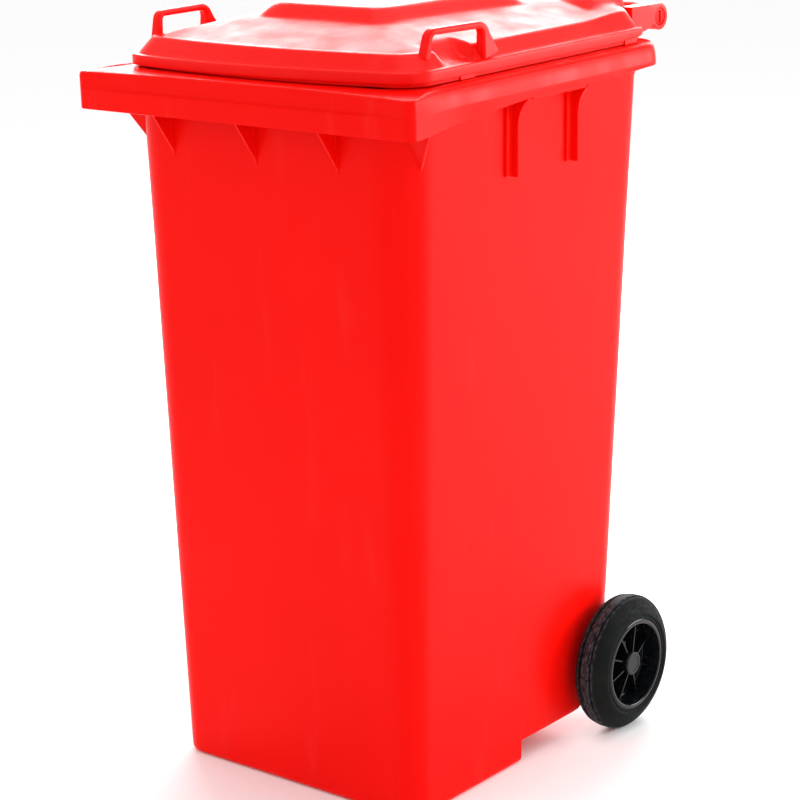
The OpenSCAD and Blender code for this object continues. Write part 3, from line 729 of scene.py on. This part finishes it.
# ---------------------------------------------------------------- tyres
# Solid rubber tyres are stretched over the rims. Two grooves leave a worn band between them,
# and the outer wall bulges down to a stepped bead beside the rim.
def scuffed_rubber(name):
    """Black rubber, dusty on its walls, with the tread rubbed pale by the ground."""
    finish, tree, shader = new_finish(name, (0.008, 0.010, 0.009), 0.62, gloss=0.06)
    grime = noise(tree, 22, 6)
    scuff = noise(tree, 130, 6, (3.5, 1, 1))
    grain = noise(tree, 1100, 2)
    where = tree.nodes.new("ShaderNodeTexCoord")
    parts = tree.nodes.new("ShaderNodeSeparateXYZ")
    tree.links.new(where.outputs["Object"], parts.inputs["Vector"])

    def reckon(operation, first, second=0.0):
        made = tree.nodes.new("ShaderNodeMath")
        made.operation = operation
        tree.links.new(first, made.inputs[0])
        if isinstance(second, float):
            made.inputs[1].default_value = second
        else:
            tree.links.new(second, made.inputs[1])
        return made.outputs[0]

    across_y = reckon("SUBTRACT", parts.outputs["Y"], axle.y)
    across_z = reckon("SUBTRACT", parts.outputs["Z"], axle.z)
    radius = reckon("SQRT", reckon("ADD", reckon("POWER", across_y, 2.0),
                                   reckon("POWER", across_z, 2.0)))
    tread = spread(tree, radius, 0.0955, 0.0992, 0, 1)
    rubbed = reckon("MULTIPLY", tread, spread(tree, scuff, 0.40, 0.66, 0, 1))
    dusty = spread(tree, grime, 0.42, 0.70, 0, 0.55)
    wall_tint = blend_colours(tree, dusty, (0.005, 0.0068, 0.006), (0.012, 0.015, 0.0135))
    tint = blend_colours(tree, rubbed, wall_tint, (0.070, 0.072, 0.088))
    dress(tree, shader, tint, spread(tree, scuff, 0.3, 0.7, 0.48, 0.78),
          [(scuff, 0.22, 0.0006), (grain, 0.2, 0.0002)])
    return finish


tyre_form = new_form()
add_turned(tyre_form, wheel_section([
    (0.0680, 0.0030), (0.0686, 0.0018), (0.0705, 0.0008), (0.0760, 0.0002), (0.0830, 0.0006),
    (0.0880, 0.0014), (0.0930, 0.0026), (0.0962, 0.0048), (0.0978, 0.0072), (0.0984, 0.0094),
    (0.0980, 0.0104), (0.0962, 0.0110), (0.0954, 0.0118), (0.0954, 0.0132), (0.0963, 0.0141),
    (0.0990, 0.0150), (0.0998, 0.0156), (0.1000, 0.0168), (0.1000, 0.0215), (0.1000, 0.0262),
    (0.0998, 0.0274), (0.0990, 0.0280), (0.0966, 0.0284), (0.0957, 0.0292), (0.0957, 0.0300),
    (0.0965, 0.0308), (0.0980, 0.0311), (0.0982, 0.0318), (0.0966, 0.0341), (0.0939, 0.0370),
    (0.0904, 0.0400), (0.0864, 0.0428), (0.0822, 0.0451), (0.0788, 0.0467), (0.0765, 0.0475),
    (0.0750, 0.0478), (0.0740, 0.0474), (0.0733, 0.0464), (0.0724, 0.0458), (0.0712, 0.0459),
    (0.0700, 0.0466), (0.0690, 0.0468), (0.0683, 0.0463), (0.0680, 0.0450)]),
    axle.y, axle.z, 160)
tyre_rubber = scuffed_rubber("scuffed_rubber")
for side, flip in both_sides:
    make_piece("tyre_detail_" + side, copied(tyre_form, flip), tyre_rubber, "wheel_" + side,
               ["tyre_" + side], sharp=40)


# ---------------------------------------------------------------- hub caps
# A dark grey cap, moulded in polypropylene, is pressed into each hub from outside and hides
# the axle's end.
cap_form = new_form()
add_turned(cap_form, [(0, 0.2724), (0.0092, 0.2724), (0.0097, 0.2730), (0.0097, 0.2751),
                      (0.0160, 0.2751), (0.0170, 0.2755), (0.0172, 0.2762), (0.0170, 0.2771),
                      (0.0162, 0.2777), (0.0140, 0.2781), (0.0128, 0.2780), (0.0124, 0.2774),
                      (0.0118, 0.2772), (0, 0.2774)], axle.y, axle.z, 64)
cap_grey = moulded_grey("cap_grey_pp", (0.014, 0.017, 0.018), 0.40)
for side, flip in both_sides:
    make_piece("hub_cap_detail_" + side, copied(cap_form, flip), cap_grey, "wheel_" + side,
               ["hub_cap_" + side])


# ---------------------------------------------------------------- lid
# The lid is a second red HDPE moulding: a thin lip, a sloping skirt, a crowned deck with a
# flat-topped dome, and a raised bridge at the back. Two strap handles stand on its front
# corners, and two arms behind it end in the hinge eyes.
lid_half, lid_front, lid_back, lid_middle = 0.258, -0.318, 0.256, -0.031
deck_in = 0.030
across_share = 1 - deck_in / lid_half
along_share = 1 - deck_in / (lid_back - lid_middle)
DECK_COLUMNS = [0, 0.03, 0.055, 0.075, 0.088, 0.094, 0.0975, 0.101, 0.105, 0.110, 0.1145, 0.118,
                0.1215, 0.126, 0.134, 0.148, 0.165, 0.180, 0.192, 0.198, 0.202, 0.206, 0.2095,
                0.213, 0.2165]
DECK_ROWS = [-0.2611, -0.2575, -0.2535, -0.249, -0.2445, -0.240, -0.2355, -0.231, -0.2265,
             -0.2225, -0.219, -0.2155, -0.212, -0.2075, -0.203, -0.198, -0.193, -0.1895, -0.186, -0.1825,
             -0.178, -0.173, -0.169, -0.166, -0.1625, -0.158, -0.154, -0.150, -0.146, -0.142,
             -0.138, -0.132, -0.125, -0.10, -0.06, -0.02, 0.02, 0.055, 0.078, 0.088, 0.0925, 0.096,
             0.1005, 0.105, 0.110, 0.1135, 0.117, 0.122, 0.13, 0.14, 0.149, 0.154, 0.158, 0.162,
             0.168, 0.174, 0.179, 0.183, 0.187, 0.194, 0.205, 0.215, 0.2229]
BEND = DECK_COLUMNS.index(0.206)
dome_front, dome_least = -0.186, 0.118


# the right half of the lid's edge: a slow curve across the front, a round corner, a side
line_by_x = [(0.007 * i, lid_front + 0.0145 * (0.007 * i / 0.198) ** 2) for i in range(29)]
line_by_x += arc(0.2135, -0.2565, lid_half - 0.2135, -81, 0, 24) + [(lid_half, lid_back)]
line_by_y = [(y, x) for x, y in line_by_x]


def lid_edge():
    """The lid's outline, with its points where the deck's columns and rows reach it."""
    front = [c / across_share for c in DECK_COLUMNS]
    rows = [lid_middle + (r - lid_middle) / along_share for r in DECK_ROWS]
    right = [(x, between(x, line_by_x)) for x in front[:-1]]
    right.append((between(rows[0], line_by_y), rows[0]))
    right += [(between(y, line_by_y), y - 0.0168 * ease((y - 0.15) / 0.070)) for y in rows[1:-3]]
    right += arc(0.228, 0.2035, 0.030, 0, 75, 5)[1:]
    right += [(x, between(x, [(0.2225, lid_back), (0.2275, 0.2345), (0.233, 0.2335)]))
              for x in reversed(front[:BEND + 1])]
    return mirrored(right)


def bridge_share(x):
    """How much of the sloping skirt there is at the back; the bridge's back is upright."""
    return 0.22 + 0.30 * ease((abs(x) - 0.199) / 0.009)


def lid_ring(inset, extra=0.0):
    """The lid's outline drawn in: by inset, which the bridge's back takes less of, and by extra."""
    made = []
    for x, y in edge_line:
        nx = x * (1 - (inset + extra) / lid_half)
        used = inset + extra if y < lid_middle else inset * bridge_share(nx) + extra
        made.append((nx, lid_middle + (y - lid_middle) * (1 - used / (lid_back - lid_middle))))
    return made


def soft_max0(v, r):
    """Zero or v, whichever is more, rounded where they meet."""
    return 0 if v < -r else (v + r) ** 2 / (4 * r) if v < r else v


def ramp(v, width, r=0.003):
    """From 0 to 1 over the width, with rounded ends."""
    return (soft_max0(v, r) - soft_max0(v - width, r)) / width


def least(a, b, r):
    """The smaller of two numbers, rounded where they meet."""
    h = max(0, r - abs(a - b)) / r
    return min(a, b) - h * h * r / 4


def lift(x, y):
    """The lid sits a little askew: its lip is 3.5 mm further off the rim on the right."""
    return 0.0035 * ease((x + 0.25) / 0.5)


def scoop(x, y):
    """The finger hollow in the lid's edge under each strap handle."""
    off = between(y, line_by_y) - abs(x)
    return (0.0180 * ease((y + 0.2290) / 0.022) * ease((-0.1475 - y) / 0.009)
            * ease((off - 0.004) / 0.021) * ease((0.060 - off) / 0.027))


def dome_half(y):
    """Half the dome's width, which grows towards the back."""
    return dome_least + 0.021 * min(1.3, max(0, (y - dome_front) / 0.259))


def lid_height(x, y):
    """The height of the deck's top, with the crown, the dome, the bridge and the hollows."""
    far = abs(x)
    front_edge = lid_middle + (between(far / across_share, line_by_x) - lid_middle) * along_share
    side = (between(y, line_by_y) * across_share + 0.0005 - far) / 0.100
    rise = least(least(side, (y - front_edge) / 0.100, 0.18), (0.238 - y) / 0.105, 0.18)
    z = 1.0456 + 0.0045 * ease((y - 0.10) / 0.10) + 0.0224 * least(max(0, rise), 1, 0.08)
    inside = least(least(dome_half(y) - far, y - dome_front, 0.036), 0.114 - y, 0.036)
    z += 0.0180 * ramp(inside, 0.020, 0.0035)
    bridge = ramp(least(y - 0.160, 0.2065 - far, 0.010), 0.018, 0.0035)
    z += (1.0710 - z) * bridge
    return z - scoop(x, y)


def skirt_ring(share, extra=0.0, drop=0.0):
    """A ring on the sloping skirt, from the ledge above the lip (0) to the deck's edge (1)."""
    made = []
    foot, top = lid_ring(0.0074, extra), lid_ring(0.0225, extra)
    for (x0, y0), (x1, y1) in zip(foot, top):
        x, y = x0 + (x1 - x0) * share, y0 + (y1 - y0) * share
        foot_z = 1.0230 + lift(x0, y0)
        top_z = lid_height(x1, y1) - 0.0016 + scoop(x1, y1)
        made.append((x, y, foot_z + (top_z - foot_z) * share - scoop(x, y) - drop))
    return made


def deck_ring(inset, extra=0.0, drop=0.0):
    return [(x, y, lid_height(x, y) - drop) for x, y in lid_ring(inset, extra)]


def lip_at(inset, z, extra=0.0):
    return [(x, y, z + lift(x, y)) for x, y in lid_ring(inset, extra)]


def lip_foot(z, extra):
    """A ring low on the lip, which reaches 3.4 mm further down in front of the bridge."""
    return [(x, y, up - 0.0034 * ease((0.24 - y) / 0.10)) for x, y, up in lip_at(0, z, extra)]


def deck_base(i, j):
    """A grid point's place in plan, with the columns bunched along the sides of the dome."""
    k = i - across
    far, y = abs(k), DECK_ROWS[j]
    if far <= BEND:
        half = dome_half(y) if y < 0.125 else dome_least
        x = between(DECK_COLUMNS[far], [(0, 0), (0.098, half - 0.020), (0.118, half),
                                        (0.192, 0.192), (0.206, 0.206)])
    else:
        x = between(lid_middle + (y - lid_middle) / along_share, line_by_y) * across_share
        x = 0.206 + (x - 0.206) * (far - BEND) / (across - BEND)
    return Vector((math.copysign(x, k), y, 0))


def deck_fade_along(j):
    y = DECK_ROWS[j]
    return (min(1, max(0, (-0.193 - y) / 0.0681)), min(1, max(0, (y - 0.187) / 0.0359)))


def deck_fade_across(i):
    share = max(0, (abs(i - across) - BEND) / (across - BEND))
    return (share, 0) if i < across else (0, share)


def lid_shell(form):
    """The lid as one thin skin: its underside, the flange inside the lip, the lip and the top."""
    t = 0.0035
    rings = [deck_ring(0.030, t * 0.4, t), deck_ring(0.0255, t * 0.5, t + 0.0006)]
    rings += [skirt_ring(s, t * 0.9, t * 0.75) for s in (0.9, 0.7, 0.45, 0.2)]
    rings += [lip_at(0, z, extra) for z, extra in ((1.0205, 0.0092), (1.0180, 0.0084))]
    rings += [[(x, y, 1.0060 + up + 0.006 * ease((y - 0.236) / 0.012))
               for x, y in lid_ring(0, extra)]
              for up, extra in ((0.0006, 0.0080), (0, 0.0074), (0, 0.0058), (0.0006, 0.0052))]
    rings += [lip_foot(z, extra) for z, extra in
              ((1.0128, 0.0048), (1.0128, 0.0034), (1.0114, 0.0028), (1.0110, 0.0020),
               (1.0113, 0.0008), (1.0127, 0))]
    rings += [lip_at(0, z, extra) for z, extra in
              ((1.0192, 0), (1.0207, 0.0003), (1.0217, 0.0011), (1.0222, 0.0024),
               (1.0225, 0.0058))]
    rings += [skirt_ring(s) for s in (0, 0.22, 0.44, 0.66, 0.85, 0.95)]
    rings += [deck_ring(0.0235, 0, 0.0010), deck_ring(0.0255, 0, 0.0003), deck_ring(0.0275),
              deck_ring(0.030)]
    start = add_rings(form, rings)
    along = len(DECK_ROWS) - 1
    add_sheet(form, start, across, along, deck_base, deck_fade_along, deck_fade_across,
              lambda x, y: lid_height(x, y) - t)
    add_sheet(form, start + (len(rings) - 1) * len(edge_line), across, along, deck_base,
              deck_fade_along, deck_fade_across, lid_height)


def rounded_path(corners, radii, steps=7):
    """A path through the corners, each cut by a smooth curve of its own radius."""
    made = [Vector(corners[0])]
    for a, b, c, r in zip(corners, corners[1:], corners[2:], radii):
        a, b, c = Vector(a), Vector(b), Vector(c)
        start, end = b + (a - b).normalized() * r, b + (c - b).normalized() * r
        for s in range(steps + 1):
            t = s / steps
            made.append(start * (1 - t) ** 2 + b * 2 * t * (1 - t) + end * t * t)
    return made + [Vector(corners[-1])]


def add_strap(form, path, sizes):
    """A strap of rounded section swept along the path; sizes are (share of path, width, thick)."""
    lengths = [0.0]
    for a, b in zip(path, path[1:]):
        lengths.append(lengths[-1] + (b - a).length)
    rings = []
    for k, p in enumerate(path):
        share = lengths[k] / lengths[-1]
        w = between(share, [(s, a) for s, a, b in sizes]) / 2
        t = between(share, [(s, b) for s, a, b in sizes]) / 2
        ahead = (path[min(k + 1, len(path) - 1)] - path[max(k - 1, 0)]).normalized()
        wide = (Vector((1, 0, 0)) - ahead * ahead.x).normalized()
        tall = ahead.cross(wide)
        r = min(0.003, t * 0.85)
        ring = []
        for cu, cv, turn in ((w - r, t - r, 0), (r - w, t - r, 90), (r - w, r - t, 180),
                             (w - r, r - t, 270)):
            ring += [p + wide * u + tall * v for u, v in arc(cu, cv, r, turn, turn + 90, 4)]
        rings.append([tuple(q) for q in ring])
    add_bar(form, rings)


def strap_handles(form):
    corners = [(0.2350, -0.2475, 1.038), (0.2375, -0.2410, 1.0710), (0.2455, -0.1400, 1.0700),
               (0.2450, -0.1300, 1.030)]
    path = rounded_path(corners, (0.010, 0.012))
    sizes = [(0, 0.0135, 0.013), (0.12, 0.0130, 0.010), (0.24, 0.0130, 0.0085), (0.35, 0.013, 0.008),
             (0.65, 0.013, 0.008), (0.76, 0.0135, 0.010), (0.88, 0.0140, 0.016),
             (0.94, 0.0160, 0.023), (1, 0.018, 0.032)]
    strap = new_form()
    add_strap(strap, path, sizes)
    add_form(form, strap)
    add_form(form, copied(strap, flip=True))


def reach_of(outline, turn):
    """How far a ray from the hinge goes before it leaves the outline of (y, z) offsets."""
    dy, dz = math.cos(turn), math.sin(turn)
    far = 0.019
    for (y0, z0), (y1, z1) in zip(outline, outline[1:] + outline[:1]):
        ey, ez = y1 - y0, z1 - z0
        cross = dy * ez - dz * ey
        if abs(cross) > 1e-12:
            t = (y0 * ez - z0 * ey) / cross
            s = (y0 * dz - z0 * dy) / cross
            if t > 0 and -1e-9 <= s <= 1 + 1e-9:
                far = max(far, t)
    return far


def hinge_arms(form):
    """An arm with its eye, bored for the pin and sunk for the pin's head."""
    arm = [(-0.072, -0.0165), (-0.072, 0.0205), (0.0, 0.0190), (0.0, -0.006), (-0.042, -0.0165)]
    turns = sorted([2 * math.pi * i / 80 for i in range(80)]
                   + [math.atan2(z, y) % (2 * math.pi) for y, z in arm[:2] + arm[4:]])
    low_x, high_x, soft = 0.1985, 0.2221, 0.0012
    section = [(None, low_x, soft), (None, low_x + soft, 0), (None, high_x - soft, 0),
               (None, high_x - soft * 0.3, soft * 0.3), (None, high_x, soft),
               (0.0132, high_x, 0), (0.0124, high_x - 0.0008, 0), (0.0124, high_x - 0.0062, 0),
               (0.0062, high_x - 0.0062, 0), (0.0061, low_x, 0)]
    made = new_form()
    rings = []
    for r, x, inward in section:
        ring = []
        for turn in turns:
            far = r if r else reach_of(arm, turn) - inward
            ring.append((x, hinge.y + far * math.cos(turn), hinge.z + far * math.sin(turn)))
        rings.append(ring)
    add_rings(made, rings, loop=True)
    add_form(form, made)
    add_form(form, copied(made, flip=True))


def lid_pads(form):
    """Four pads under the lid's edges, which rest on the rim."""
    for side in (-1, 1):
        for y in (-0.198, 0.174):
            add_plate(form, [(side * 0.2480, 1.0055), (side * 0.2548, 1.0055),
                             (side * 0.2548, 1.0150), (side * 0.2480, 1.0150)], y, y + 0.030,
                      along="y", soft=0.0006)


across = len(DECK_COLUMNS) - 1
edge_line = lid_edge()
lid_red = moulded_red("red_hdpe_lid", (0.90, 0.0045, 0.0020), (0.85, 0.0030, 0.0012), 0.14)
lid_form = new_form()
lid_shell(lid_form)
strap_handles(lid_form)
hinge_arms(lid_form)
lid_pads(lid_form)
make_piece("bin_lid", lid_form, lid_red, "lid", ["lid"], sharp=38)


# ---------------------------------------------------------------- hinge pins
# Two pins of the body's red plastic are pushed through the eyes into the brackets and hold
# the lid on. Each head has one slot across it.
pin_form = new_form()
add_turned(pin_form, [(0, 0.1805), (0.0045, 0.1805), (0.0060, 0.1830), (0.0060, 0.2161),
                      (0.0114, 0.2161), (0.0120, 0.2166), (0.0120, 0.2203), (0.0114, 0.2211),
                      (0.0095, 0.2213), (0, 0.2213)], hinge.y, hinge.z, 56)
slot_form = new_form()
add_plate(slot_form, [(hinge.y - 0.0025, hinge.z - 0.0090), (hinge.y + 0.0025, hinge.z - 0.0090),
                      (hinge.y + 0.0025, hinge.z + 0.0090), (hinge.y - 0.0025, hinge.z + 0.0090)],
          0.2180, 0.2240, soft=0.0003)
pin_form = cut(pin_form, slot_form)
for side, flip in both_sides:
    make_piece("hinge_pin_detail_" + side, copied(pin_form, flip), body_red, "frame",
               ["hinge_pin_" + side])


# ---------------------------------------------------------------- camera, floor and light
# A plain pale floor under soft studio light. The camera stands in front of the bin's right
# corner, a little above the lid.
def plane(name, size, z, colour):
    mesh = bpy.data.meshes.new(name)
    mesh.from_pydata([(-size, -size, z), (size, -size, z), (size, size, z), (-size, size, z)],
                     [], [(0, 1, 2, 3)])
    finish, tree, shader = new_finish(name, colour, 0.9)
    mesh.materials.append(finish)
    made = bpy.data.objects.new(name, mesh)
    bpy.context.collection.objects.link(made)
    return made


plane("studio_floor", 12, 0, (0.96, 0.96, 0.96))


def lamp(name, place, target, size, power):
    data = bpy.data.lights.new(name, "AREA")
    data.shape = "RECTANGLE"
    data.size, data.size_y = size
    data.energy = power
    made = bpy.data.objects.new(name, data)
    made.location = place
    made.rotation_euler = (Vector(target) - Vector(place)).to_track_quat("-Z", "Y").to_euler()
    bpy.context.collection.objects.link(made)


lamp("right_softbox", (2.7, 3.3, 1.35), (0.28, 0, 0.95), (2.2, 1.2), 120)
lamp("rear_softbox", (-2.4, 3.6, 2.4), (0, 0, 0.9), (4.2, 2.6), 270)
lamp("top_softbox", (0.2, 0.4, 4.0), (0, 0, 0.9), (2.6, 2.6), 30)

world = bpy.data.worlds.new("studio")
world.use_nodes = True
world.node_tree.nodes["Background"].inputs["Color"].default_value = (1, 1, 1, 1)
world.node_tree.nodes["Background"].inputs["Strength"].default_value = 1.0
bpy.context.scene.world = world
bpy.context.scene.view_settings.view_transform = "Standard"

yaw, pitch, roll = math.radians(39.6), math.radians(15.6), math.radians(-1.9)
ahead = Vector((-math.sin(yaw) * math.cos(pitch), math.cos(yaw) * math.cos(pitch),
                -math.sin(pitch)))
right = ahead.cross(Vector((0, 0, 1))).normalized()
up = right.cross(ahead)
right, up = (math.cos(roll) * right + math.sin(roll) * up,
             -math.sin(roll) * right + math.cos(roll) * up)
camera_data = bpy.data.cameras.new("camera")
camera_data.sensor_width = 36
camera_data.lens = 110.71
camera = bpy.data.objects.new("camera", camera_data)
bpy.context.collection.objects.link(camera)
turn = camera.matrix_world.copy()
for row in range(3):
    turn[row][0], turn[row][1], turn[row][2] = right[row], up[row], -ahead[row]
turn.translation = (2.1786, -2.6666, 1.4591)
camera.matrix_world = turn
bpy.context.scene.camera = camera
